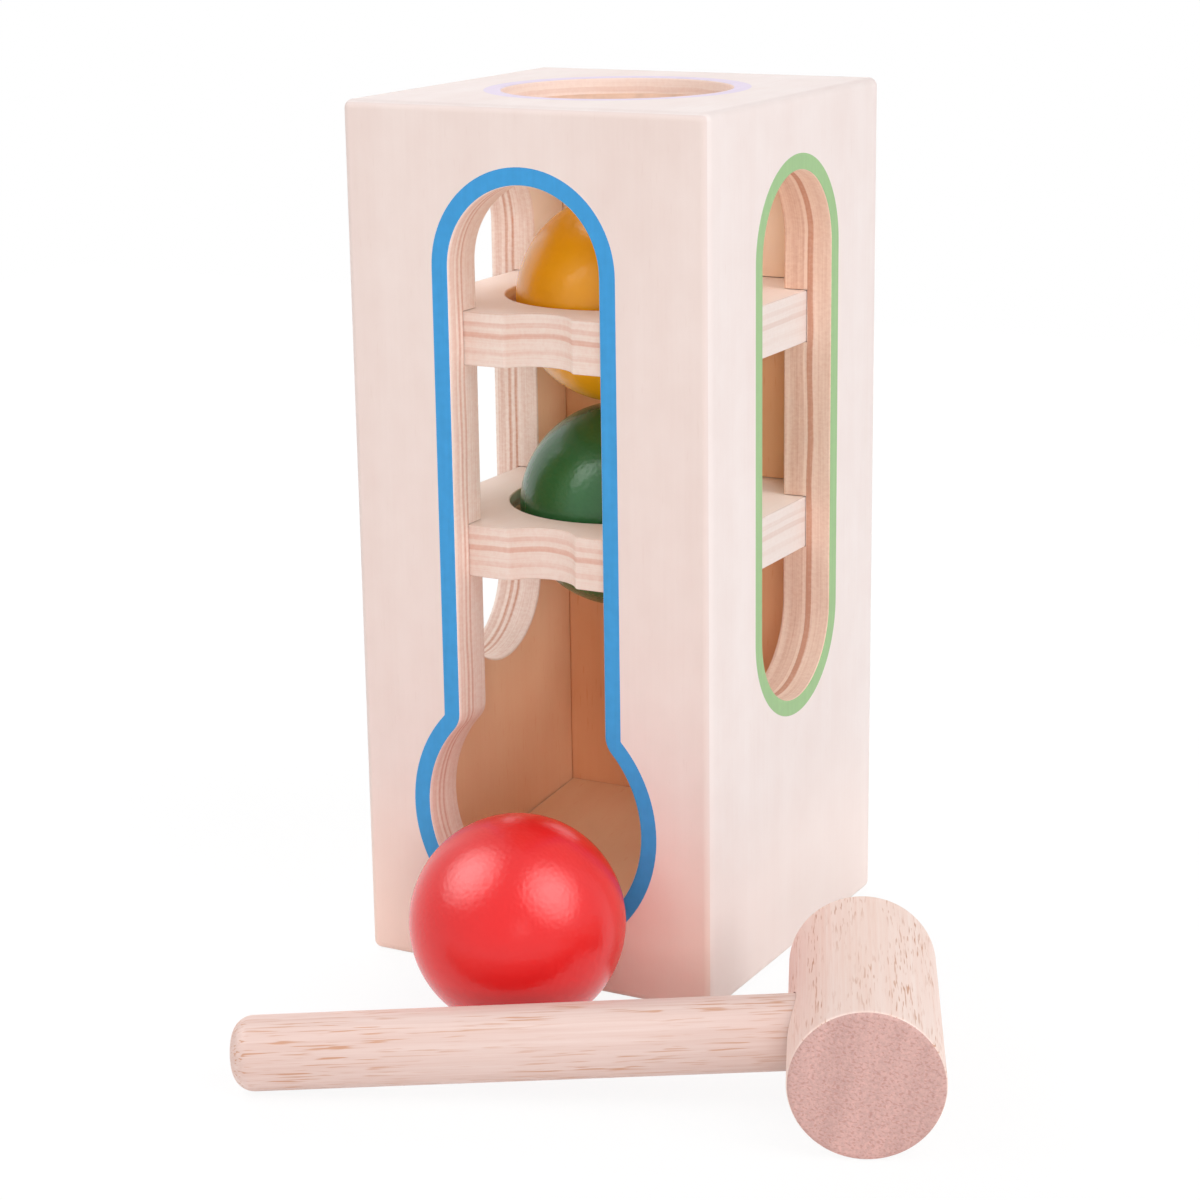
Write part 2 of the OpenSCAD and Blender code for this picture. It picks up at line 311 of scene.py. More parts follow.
def corner(radius, depth, mitred_end, steps=6):
    """Insets from the side and the end where a board's rounded corner lies at a depth, from the
    side round to the end. The side is mitred, and the end too where mitred_end is true."""
    left = max(radius - depth, 0.0)
    round_here = math.sqrt(radius ** 2 - left ** 2)
    reach = min(left / round_here, 1.0) if round_here else 1.0
    start, stop = math.acos(reach), math.asin(reach) if mitred_end else math.pi / 2
    if start >= stop:
        return [(depth, depth if mitred_end else 0.0)] * (steps + 1)
    turns = [start + (stop - start) * i / steps for i in range(steps + 1)]
    return [(radius - round_here * math.cos(turn), radius - round_here * math.sin(turn))
            for turn in turns]


def board_outline(left, right, low, high, radius, depth, mitred_low):
    """A tower board's outline at a depth below its outer face."""
    lower, upper = corner(radius, depth, mitred_low), corner(radius, depth, True)
    return ([(left + side, low + end) for side, end in lower]
            + [(right - side, low + end) for side, end in reversed(lower)]
            + [(right - side, high - end) for side, end in upper]
            + [(left + side, high - end) for side, end in reversed(upper)])


# Shapes


class Blank:
    """Gathers one piece in its own measure: across, along and depth."""

    def __init__(self):
        self.points, self.faces, self.skins = [], [], []

    def loop(self, outline, depth):
        start = len(self.points)
        self.points += [(across, along, depth) for across, along in outline]
        return list(range(start, len(self.points)))

    def strip(self, near, far, skin):
        """Faces between two loops, either of which may be a single point."""
        count = max(len(near), len(far))
        for i in range(count):
            j = (i + 1) % count
            corners = [loop[k % len(loop)]
                       for loop, k in ((near, i), (near, j), (far, j), (far, i))]
            self.faces.append(list(dict.fromkeys(corners)))
            self.skins.append(skin)

    def sheet(self, loops, skin):
        """A flat face between an outline and the holes in it."""
        loops = [[i for i, before in zip(loop, loop[-1:] + loop[:-1])
                  if self.points[i] != self.points[before]] for loop in loops]
        order = [i for loop in loops for i in loop]
        shapes = [[Vector((*self.points[i][:2], 0)) for i in loop] for loop in loops]
        for corners in tessellate_polygon(shapes):
            self.faces.append([order[k] for k in corners])
            self.skins.append(skin)

    def chain(self, loops, skins):
        for near, far, skin in zip(loops, loops[1:], skins):
            self.strip(near, far, skin)

    def mesh(self, name, place):
        made = bpy.data.meshes.new(name)
        made.from_pydata([place @ Vector(p) for p in self.points], [], self.faces)
        for face, skin in zip(made.polygons, self.skins):
            face.material_index = skin
        shape = bmesh.new()
        shape.from_mesh(made)
        bmesh.ops.remove_doubles(shape, verts=shape.verts, dist=1e-7)
        bmesh.ops.recalc_face_normals(shape, faces=shape.faces)
        shape.to_mesh(made)
        shape.free()
        return made


def block(low, high):
    """A cutter's block in its own measure."""
    blank = Blank()
    loops = [blank.loop(rectangle(low[0], high[0], low[1], high[1]), depth)
             for depth in (low[2], high[2])]
    blank.sheet(loops[:1], SAWN)
    blank.strip(*loops, SAWN)
    blank.sheet(loops[1:], SAWN)
    return blank


def turned(profile, steps=96):
    """A turned piece from radius, height and material along its profile."""
    blank = Blank()
    loops = [blank.loop([(0, 0)] if radius == 0 else
                        arc((0, 0), radius, 0, math.tau, steps)[:-1], height)
             for radius, height, skin in profile]
    blank.chain(loops, [skin for _, _, skin in profile])
    return blank


def placed(name, data):
    """A new object in the scene."""
    made = bpy.data.objects.new(name, data)
    bpy.context.scene.collection.objects.link(made)
    return made


def cut(piece, cutters, place):
    """Takes the cutters out of a piece."""
    for number, cutter in enumerate(cutters):
        tool = placed(f"cutter_{number}", cutter.mesh(f"cutter_{number}", place))
        for material in piece.data.materials:
            tool.data.materials.append(material)
        modifier = piece.modifiers.new("cut", "BOOLEAN")
        modifier.operation = "DIFFERENCE"
        modifier.solver = "EXACT"
        modifier.object = tool
        depsgraph = bpy.context.evaluated_depsgraph_get()
        shape = bpy.data.meshes.new_from_object(piece.evaluated_get(depsgraph))
        piece.modifiers.clear()
        old, piece.data = piece.data, shape
        shape.name = piece.name
        bpy.data.meshes.remove(old)
        bpy.data.objects.remove(tool)


def axes(across, along, depth, origin):
    """Where a piece's own measure lies in the toy."""
    return Matrix.Translation(origin) @ Matrix((across, along, depth)).transposed().to_4x4()


def lying_flat(top):
    """A board that lies with its outer face up."""
    return axes((1, 0, 0), (0, 1, 0), (0, 0, -1), (0, 0, top))


def piece(name, blank, place, materials, body, node, slot, cutters=(), grain=None):
    """Makes a piece, cuts it, stores where each point lies in the wood and sets it on its body."""
    made = placed(name, blank.mesh(name, place))
    for material in materials:
        made.data.materials.append(material)
    cut(made, cutters, place)
    to_wood = (grain or Matrix()) @ place.inverted()
    wood = made.data.attributes.new("grain", "FLOAT_VECTOR", "POINT")
    for vertex, value in zip(made.data.vertices, wood.data):
        value.vector = to_wood @ vertex.co
    made.data.shade_smooth()
    made.data.set_sharp_from_angle(angle=SHARP)
    normals = made.modifiers.new("even_shading", "WEIGHTED_NORMAL")
    normals.keep_sharp = True
    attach(made, body)
    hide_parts(node)
    return made


# Materials


def add(tree, kind, settings=(), inputs=()):
    """Adds a node; an input is a value or the socket that feeds it."""
    made = tree.nodes.new(kind)
    for key, value in dict(settings).items():
        setattr(made, key, value)
    for key, value in dict(inputs).items():
        if isinstance(value, bpy.types.NodeSocket):
            tree.links.new(value, made.inputs[key])
        else:
            made.inputs[key].default_value = value
    return made


def stretched(tree, vector, scale, move=(0, 0, 0)):
    return add(tree, "ShaderNodeVectorMath", {"operation": "MULTIPLY_ADD"},
               {0: vector, 1: scale, 2: move}).outputs[0]


def cloud(tree, place, scale, detail=2.0, rough=0.5):
    """Noise with so many features to a metre along each axis."""
    return add(tree, "ShaderNodeTexNoise", {},
               {"Vector": stretched(tree, place, scale), "Scale": 1.0, "Detail": detail,
                "Roughness": rough}).outputs[0]


def remap(tree, value, low, high, out_low, out_high, smooth=False):
    return add(tree, "ShaderNodeMapRange",
               {"interpolation_type": "SMOOTHSTEP" if smooth else "LINEAR"},
               {0: value, 1: low, 2: high, 3: out_low, 4: out_high}).outputs[0]


def spread(tree, value, out_low, out_high):
    """Spreads the part where most of a noise lies between two values."""
    return remap(tree, value, *NOISE_MIDDLE, out_low, out_high)


def reckon(tree, operation, first, second):
    return add(tree, "ShaderNodeMath", {"operation": operation}, {0: first, 1: second}).outputs[0]


def sums(tree, first, *others):
    for other in others:
        first = reckon(tree, "ADD", first, other)
    return first


def part(tree, vector, axis):
    """One of a vector's three parts."""
    return add(tree, "ShaderNodeSeparateXYZ", {}, {0: vector}).outputs[axis]


def blend(tree, factor, first, second):
    first, second = (value if isinstance(value, bpy.types.NodeSocket) else (*value, 1.0)
                     for value in (first, second))
    return add(tree, "ShaderNodeMix", {"data_type": "RGBA"},
               {0: factor, 6: first, 7: second}).outputs[2]


def shade(tint, factor, lift=0.0):
    """A colour made darker or lighter."""
    return tuple(min(value * factor + lift, 1.0) for value in tint)


def bump(tree, height, strength, distance):
    return add(tree, "ShaderNodeBump", {},
               {"Height": height, "Strength": strength, "Distance": distance}).outputs[0]


def material(name):
    """An empty material with its node tree."""
    made = bpy.data.materials.new(name)
    made.use_nodes = True
    made.node_tree.nodes.clear()
    return made, made.node_tree


def surface(tree, paint, roughness, normal, gloss):
    """Ends a material in one shader."""
    shader = add(tree, "ShaderNodeBsdfPrincipled", {},
                 {"Base Color": paint, "Roughness": roughness, "Normal": normal,
                  "Specular IOR Level": gloss})
    add(tree, "ShaderNodeOutputMaterial", {}, {0: shader.outputs[0]})


def wood_place(tree, shift):
    """Where a point lies in the wood: across, along the grain and depth, in metres."""
    place = add(tree, "ShaderNodeAttribute", {"attribute_name": "grain"}).outputs["Vector"]
    return stretched(tree, place, (1, 1, 1), (shift, shift * 0.7, 0))


def veneer(name, pale, deep, shift, flecks=0.15, edge=None, high=None, foot=None):
    """Rotary-cut veneer: broad soft figure, fine fibres, a few short flecks and, where these are
    given, paler sanded edges, painted light on a part high up and painted bounce light at the foot,
    warmer or paler."""
    made, tree = material(name)
    place = wood_place(tree, shift)
    figure = cloud(tree, place, (55, 5, 20), 3.0, 0.5)
    mottle = cloud(tree, place, (140, 90, 20), 2.0, 0.5)
    fibres = cloud(tree, place, (1100, 26, 60), 3.0, 0.6)
    fleck = remap(tree, cloud(tree, place, (1500, 170, 60), 1.0),
                  0.66, 0.76, 0.0, flecks, True)
    tone = sums(tree, spread(tree, figure, 0.05, 0.5),
                spread(tree, mottle, -0.08, 0.14),
                spread(tree, fibres, 0.0, 0.09), fleck)
    wood = blend(tree, tone, pale, deep)
    if edge:
        sanded_away = remap(tree, part(tree, place, 2), 0.0, EDGE_DEPTH, 0.0, 0.8)
        wood = blend(tree, sanded_away, wood, edge)
    height = part(tree, wood_place(tree, 0.0), 1)
    # Painted light on the upper part of the inner faces
    if high:
        wood = blend(tree, remap(tree, height, *LIT_HIGH_PART, 0.0, 0.9, True), wood, high)
    # Painted bounce light at the foot of the walls
    if foot:
        wood = blend(tree, remap(tree, height, 0.0, BOUNCE_HEIGHT, 0.6, 0.0, True), wood, foot)
    surface(tree, wood, spread(tree, fibres, 0.52, 0.64),
            bump(tree, sums(tree, fibres, fleck), 0.1, 0.00025), 0.3)
    return made


def sawn_ply(name, pale, deep, thickness, shift, stops):
    """The layers of plywood on a sawn edge, with the cross layers darker and rougher."""
    made, tree = material(name)
    place = wood_place(tree, shift)
    waver = spread(tree, cloud(tree, place, (60, 60, 30)), -0.02, 0.02)
    depth = sums(tree, remap(tree, part(tree, place, 2), 0.0, thickness, 0.0, 1.0), waver)
    layers = add(tree, "ShaderNodeValToRGB", {}, {0: depth})
    ramp = layers.color_ramp
    while len(ramp.elements) < len(stops):
        ramp.elements.new(0.5)
    for element, (position, tone) in zip(ramp.elements, stops):
        element.position = position
        element.color = (tone, tone, tone, 1.0)
    streaks = cloud(tree, place, (45, 45, 2600), 3.0, 0.6)
    specks = cloud(tree, place, (1300, 1300, 900), 2.0, 0.6)
    tone = sums(tree, layers.outputs[0], spread(tree, streaks, -0.12, 0.22),
                remap(tree, specks, 0.35, 0.65, -0.08, 0.1))
    surface(tree, blend(tree, tone, pale, deep), spread(tree, specks, 0.6, 0.75),
            bump(tree, sums(tree, streaks, specks, layers.outputs[0]), 0.25, 0.0002),
            0.25)
    return made


def rim_paint(name, tint, shift):
    """Thin rolled paint that lets a little of the grain show."""
    made, tree = material(name)
    place = wood_place(tree, shift)
    fibres = cloud(tree, place, (900, 40, 60), 2.0, 0.6)
    roll = cloud(tree, place, (420, 420, 420), 2.0, 0.5)
    dark = shade(tint, 0.9)
    light = shade(tint, 1.06, 0.004)
    tone = sums(tree, spread(tree, fibres, 0.1, 0.5), spread(tree, roll, 0.0, 0.4))
    surface(tree, blend(tree, tone, dark, light), spread(tree, roll, 0.36, 0.46),
            bump(tree, sums(tree, fibres, roll), 0.1, 0.0002), 0.4)
    return made


def ball_paint(name, tint):
    """Sprayed satin paint on a turned ball: faint drift of tone, soft swell and fine grain."""
    made, tree = material(name)
    place = add(tree, "ShaderNodeTexCoord").outputs["Object"]
    drift = cloud(tree, place, (45, 45, 45), 2.0, 0.5)
    peel = cloud(tree, place, (1100, 1100, 1100), 0.0, 0.4)
    swell = cloud(tree, place, (110, 110, 110), 1.0, 0.4)
    dark = shade(tint, 0.9)
    light = shade(tint, 1.08, 0.002)
    height = sums(tree, remap(tree, peel, 0.0, 1.0, 0.0, 0.9), swell)
    surface(tree, blend(tree, drift, dark, light),
            remap(tree, swell, 0.0, 1.0, 0.2, 0.26), bump(tree, height, 0.1, 0.0006),
            0.5)
    return made


def ring_rubber(name, tint):
    """Soft moulded rubber with a dusty bloom."""
    made, tree = material(name)
    place = wood_place(tree, 0.0)
    dust = cloud(tree, place, (160, 160, 160), 3.0, 0.6)
    fine = cloud(tree, place, (1400, 1400, 1400), 1.0, 0.5)
    dark = shade(tint, 0.85)
    light = shade(tint, 1.1, 0.02)
    surface(tree, blend(tree, spread(tree, dust, 0.0, 1.0), dark, light),
            spread(tree, dust, 0.55, 0.75), bump(tree, fine, 0.15, 0.0002),
            0.4)
    return made


def hardwood(name, pale, deep, pore, shift, per_metre, strength):
    """Turned hardwood along the grain: soft bands, fine fibres and open pores, so many to a metre
    along the grain."""
    made, tree = material(name)
    place = wood_place(tree, shift)
    bands = cloud(tree, place, (190, 7, 190), 3.0, 0.55)
    fibres = cloud(tree, place, (2200, 45, 2200), 2.0, 0.6)
    patch = cloud(tree, place, (170, 30, 170), 2.0, 0.5)
    lines = cloud(tree, place, (900, 14, 900), 2.0, 0.6)
    short = cloud(tree, place, (2400, per_metre, 2400), 1.5, 0.45)
    pores = reckon(tree, "MULTIPLY", remap(tree, short, 0.56, 0.67, 0.0, 1.0, True),
                   remap(tree, patch, 0.4, 0.6, 0.05, strength))
    tone = sums(tree, spread(tree, bands, 0.0, 0.5),
                spread(tree, lines, -0.15, 0.35),
                spread(tree, fibres, -0.08, 0.2))
    body = blend(tree, tone, pale, deep)
    height = reckon(tree, "SUBTRACT", remap(tree, fibres, 0.0, 1.0, 0.0, 0.3), pores)
    surface(tree, blend(tree, pores, body, pore), spread(tree, fibres, 0.44, 0.56),
            bump(tree, height, 0.2, 0.00025), 0.4)
    return made


def end_grain(name, tint, shift):
    """Sawn end of the hardwood: soft growth bands across a fine scatter of pores."""
    made, tree = material(name)
    place = add(tree, "ShaderNodeVectorRotate", {"rotation_type": "Y_AXIS"},
                {"Vector": wood_place(tree, shift), "Angle": math.radians(-18)}).outputs[0]
    growth = cloud(tree, place, (210, 1, 22), 2.0, 0.5)
    specks = cloud(tree, place, (1300, 1, 1300), 3.0, 0.75)
    dots = cloud(tree, place, (1300, 1, 2300), 1.0, 0.4)
    holes = remap(tree, dots, 0.53, 0.68, 0.0, 0.48, True)
    pore = tuple(value * share for value, share in zip(tint, (0.78, 0.6, 0.54)))
    dark = shade(tint, 0.84)
    light = shade(tint, 1.19)
    tone = sums(tree, spread(tree, growth, 0.3, 0.75),
                spread(tree, specks, -0.35, 0.4))
    height = reckon(tree, "SUBTRACT", specks, holes)
    surface(tree, blend(tree, holes, blend(tree, tone, dark, light), pore),
            spread(tree, specks, 0.62, 0.78), bump(tree, height, 0.25, 0.00025),
            0.2)
    return made


def board_materials(colours, sizes, name, shift, rim=None):
    """Outer veneer, sawn edge, painted rim or long-grain edge, and inner veneer of one board."""
    wall = name in ("front", "back", "left", "right")
    # The feet get painted bounce light: warmer on the front, paler on the sides and back
    foot = colours.painted_bounce_front if name == "front" else colours.painted_bounce_sides
    if name in ("front", "back"):
        face = veneer(f"{name}_veneer", colours.veneer_pale, colours.veneer_deep, shift,
                      edge=colours.lit_wash_and_edge_deep, foot=foot)
    # Shelves: paler veneer, painted light on faces that lie in shade
    elif name.endswith("shelf"):
        face = veneer(f"{name}_veneer", colours.lit_shelf_pale, colours.lit_shelf_deep, shift)
    # Other boards: the paler, cooler veneer of painted light, as on the lit sides and top
    else:
        face = veneer(f"{name}_veneer", colours.lit_wash_pale, colours.lit_wash_and_edge_deep, shift,
                      foot=foot if wall else None)
    plies = {"front": (colours.ply_pale, colours.ply_deep, WALL_LAYERS),
             "back": (colours.ply_pale, colours.ply_deep, WALL_LAYERS),
             "left": (colours.ply_pale, colours.warm_deep, WALL_LAYERS),
             "right": (colours.warm_pale, colours.warm_deep, RIGHT_LAYERS),
             "top": (colours.bore_pale, colours.bore_deep, SHELF_LAYERS)}
    pale, deep, layers = plies.get(name, (colours.scallop_pale, colours.ply_deep, SHELF_LAYERS))
    sawn = sawn_ply(f"{name}_sawn_ply", pale, deep, sizes.board, shift, layers)
    if rim:
        third = rim_paint(f"{name}_rim_paint", rim, shift)
    else:
        third = sawn_ply(f"{name}_long_grain_ply", colours.end_pale, colours.end_deep,
                         sizes.board, shift + 0.4, SHELF_LAYERS)
    # Inner faces get a warmer, deeper tint with the orange of the shaded interior painted in; the
    # back's is the most orange
    pale, deep = ((colours.shaded_back_pale, colours.shaded_back_deep) if name == "back" else
                  (colours.shaded_inside_pale, colours.shaded_inside_deep))
    # Walls also get painted light on their inner faces above the shelves
    inside = veneer(f"{name}_inner_veneer", pale, deep, shift + 3.1, 0.5,
                    high=colours.painted_light_high if wall else None)
    return [face, sawn, third, inside]


# Pieces


def tower_board(sizes, left, right, low, high, mitred_low, opening, line, profile):
    """A tower board: rounded and mitred edges, one opening, a painted line round the opening."""
    blank = Blank()
    radius = sizes.edge_round
    turns = [math.pi / 4 * i / 5 for i in range(6)] + [BEFORE_MITRE, MITRE_TURN]
    depths = [radius * (1 - math.cos(turn)) for turn in turns]
    depths += [share * radius for share in EVEN_DEPTHS] + [radius, sizes.board - sizes.arris]
    levels = [(depth, depth) for depth in depths] + [(sizes.board + sizes.arris, sizes.board)]
    outer = [blank.loop(board_outline(left, right, low, high, radius, inset, mitred_low), depth)
             for inset, depth in levels]
    blank.chain(outer, [FACE] * (len(turns) - 1) + [SAWN] * 4 + [INSIDE])
    inner = [blank.loop(opening(grow), depth) for grow, depth in profile]
    painted = blank.loop(line, 0.0)
    blank.sheet([outer[0], painted], FACE)
    blank.strip(painted, inner[0], RIM)
    blank.chain(inner, [RIM] * 2 + [SAWN] * (len(inner) - 3))
    blank.sheet([outer[-1], inner[-1]], INSIDE)
    return blank


def slab(sizes, low, high):
    """A plain board with sanded edges, and its loops from the top face down."""
    blank = Blank()
    loops = [blank.loop(rectangle(low.x + inset, high.x - inset, low.y + inset, high.y - inset),
                        depth) for inset, depth in sanded(sizes.sawn_round, high.z - low.z)]
    blank.sheet(loops[:1], INSIDE)
    blank.chain(loops, [SAWN] * len(loops))
    blank.sheet(loops[-1:], INSIDE)
    return blank, loops


def shelf_grooves(sizes, half_across):
    """Blocks that cut the shelves' grooves in a wall, in the wall's own measure."""
    start = sizes.board - sizes.let_in - sizes.fit
    cutters = []
    for node in ("upper_shelf", "lower_shelf"):
        low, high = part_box(node)
        cutters.append(block((-half_across - sizes.fit, low.z, start),
                             (half_across + sizes.fit, high.z + sizes.fit,
                              sizes.board + OVERSHOOT)))
    return cutters


def ring_bore(sizes):
    """Growth and depth of a ball hole's side, with the groove for its ring."""
    deep = sizes.groove_radius - sizes.bore_radius
    low = sizes.ring_drop + sizes.ring_height + sizes.fit
    side = sanded(sizes.sawn_round, sizes.board)
    half = len(side) // 2
    return (side[:half] + [(0, sizes.ring_drop), (deep, sizes.ring_drop), (deep, low), (0, low)]
            + side[half:])


def settings(context):
    return context.scene.toy_sizes, context.scene.toy_colours


class TOY_OT_walls(bpy.types.Operator):
    """Saws the four walls, with the keyhole, the windows and the shelf grooves"""
    bl_idname = "pounding_toy.walls"
    bl_label = "Walls"

    def execute(self, context):
        sizes, colours = settings(context)
        half_w, half_d = sizes.tower_width / 2, sizes.tower_depth / 2
        shelf_w, shelf_d = SHELF_HIGH.x, SHELF_HIGH.y
        side = sanded(sizes.sawn_round, sizes.board)

        def slot(grow):
            return keyhole(sizes, grow, sizes.neck_round - grow)

        def high_window(grow):
            return window(sizes, grow)

        slot_line = keyhole(sizes, sizes.rim_width, sizes.line_neck)
        window_line = window(sizes, sizes.side_rim_width)
        rows = (
            ("front", 1.3, half_w, shelf_w, colours.rim_front, slot, slot_line,
             axes((1, 0, 0), (0, 0, 1), (0, 1, 0), (0, -half_d, 0))),
            ("back", 2.9, half_w, shelf_w, colours.rim_side, high_window, window_line,
             axes((1, 0, 0), (0, 0, 1), (0, -1, 0), (0, half_d, 0))),
            ("left", 4.7, half_d, shelf_d, colours.rim_side, high_window, window_line,
             axes((0, 1, 0), (0, 0, 1), (1, 0, 0), (-half_w, 0, 0))),
            ("right", 6.1, half_d, shelf_d, colours.rim_side, high_window, window_line,
             axes((0, 1, 0), (0, 0, 1), (-1, 0, 0), (half_w, 0, 0))),
        )
        for name, shift, half, groove, rim, opening, line, place in rows:
            blank = tower_board(sizes, -half, half, 0.0, sizes.tower_height, False,
                                opening, line, side)
            piece(f"{name}_board", blank, place,
                  board_materials(colours, sizes, name, shift, rim), "tower", f"{name}_wall",
                  "plywood", shelf_grooves(sizes, groove))
        return {"FINISHED"}


class TOY_OT_top(bpy.types.Operator):
    """Saws the top board with its ball hole"""
    bl_idname = "pounding_toy.top"
    bl_label = "Top board"

    def execute(self, context):
        sizes, colours = settings(context)
        half_w, half_d = sizes.tower_width / 2, sizes.tower_depth / 2
        blank = tower_board(sizes, -half_w, half_w, -half_d, half_d, True,
                            lambda grow: round_hole(sizes.bore_radius + grow),
                            round_hole(sizes.bore_radius + sizes.rim_width), ring_bore(sizes))
        piece("top_board", blank, lying_flat(sizes.tower_height),
              board_materials(colours, sizes, "top", 8.3, colours.rim_top), "tower", "top_plate",
              "plywood")
        return {"FINISHED"}


class TOY_OT_shelves(bpy.types.Operator):
    """Saws the two shelves with their ball holes and scalloped front edges"""
    bl_idname = "pounding_toy.shelves"
    bl_label = "Shelves"

    def execute(self, context):
        sizes, colours = settings(context)
        edge = sanded(sizes.sawn_round, sizes.board)
        for name, shift in (("upper", 10.9), ("lower", 12.7)):
            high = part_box(f"{name}_shelf")[1]
            blank = Blank()
            outer = [blank.loop(shelf_outline(sizes, high.x, grow), depth) for grow, depth in edge]
            inner = [blank.loop(round_hole(sizes.bore_radius + grow), depth)
                     for grow, depth in ring_bore(sizes)]
            blank.sheet([outer[0], inner[0]], FACE)
            for near, far in zip(outer, outer[1:]):
                blank.strip(near, far, SAWN)
                for side in (0, 2):
                    blank.skins[side - len(near)] = RIM
            blank.chain(inner, [SAWN] * len(inner))
            blank.sheet([outer[-1], inner[-1]], FACE)
            piece(f"{name}_shelf_board", blank, lying_flat(high.z),
                  board_materials(colours, sizes, f"{name}_shelf", shift), "tower",
                  f"{name}_shelf", "plywood")
        return {"FINISHED"}


class TOY_OT_floor(bpy.types.Operator):
    """Makes the base board and the sloping ramp on it"""
    bl_idname = "pounding_toy.floor"
    bl_label = "Base and ramp"

    def execute(self, context):
        sizes, colours = settings(context)
        low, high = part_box("base_plate")
        base, _ = slab(sizes, low, high)
        piece("base_board", base, lying_flat(high.z), board_materials(colours, sizes, "base", 14.2),
              "tower", "base_plate", "plywood")

        ramp, loops = slab(sizes, RAMP_LOW, RAMP_HIGH)
        # The top face is planed down from the back to the ramp's front height
        drop = RAMP_HIGH.z - RAMP_LOW.z - sizes.ramp_front
        run = RAMP_HIGH.y - RAMP_LOW.y
        for i in (i for loop in loops[:len(loops) // 2] for i in loop):
            across, along, depth = ramp.points[i]
            ramp.points[i] = (across, along, depth + drop * (RAMP_HIGH.y - along) / run)
        piece("ramp_board", ramp, lying_flat(RAMP_HIGH.z),
              board_materials(colours, sizes, "ramp", 16.6), "tower", "ramp", "plywood")
        return {"FINISHED"}


class TOY_OT_rings(bpy.types.Operator):
    """Moulds the three soft rings that hold the balls"""
    bl_idname = "pounding_toy.rings"
    bl_label = "Grip rings"

    def execute(self, context):
        sizes, colours = settings(context)
        rubber = ring_rubber("ring_rubber", colours.ring)
        nose = sizes.ring_height / 2
        edge = sizes.sawn_round
        outline = (arc((sizes.ring_inner + nose, nose), nose, 1.5 * math.pi, 0.5 * math.pi, 16)
                   + arc((sizes.ring_outer - edge, sizes.ring_height - edge), edge,
                         math.pi / 2, 0, 4)
                   + arc((sizes.ring_outer - edge, edge), edge, 0, -math.pi / 2, 4))
        profile = [(radius, height, FACE) for radius, height in outline + outline[:1]]
        for name in ("top", "upper", "lower"):
            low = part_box(f"{name}_grip_ring")[0]
            piece(f"{name}_soft_ring", turned(profile, 128), Matrix.Translation((0, 0, low.z)),
                  [rubber], "tower", f"{name}_grip_ring", "soft_ring")
        return {"FINISHED"}


class TOY_OT_balls(bpy.types.Operator):
    """Turns and paints the three balls"""
    bl_idname = "pounding_toy.balls"
    bl_label = "Balls"

    def execute(self, context):
        sizes, colours = settings(context)
        for name, tint in (("yellow", colours.ball_yellow), ("green", colours.ball_green),
                           ("red", colours.ball_red)):
            low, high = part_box(f"{name}_ball")
            shape = bmesh.new()
            bmesh.ops.create_icosphere(shape, subdivisions=6, radius=sizes.ball_radius)
            for vertex in shape.verts:
                place = vertex.co * MARKS + Vector((low.z * MARKS_APART, 0, 0))
                dent = 0.5 + 0.5 * noise.noise(place)
                vertex.co *= 1 - sizes.ball_uneven / sizes.ball_radius * dent
            mesh = bpy.data.meshes.new(f"{name}_painted_ball")
            shape.to_mesh(mesh)
            shape.free()
            mesh.shade_smooth()
            made = placed(f"{name}_painted_ball", mesh)
            made.location = (low + high) / 2
            mesh.materials.append(ball_paint(f"{name}_paint", tint))
            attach(made, name)
            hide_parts(f"{name}_ball")
        return {"FINISHED"}


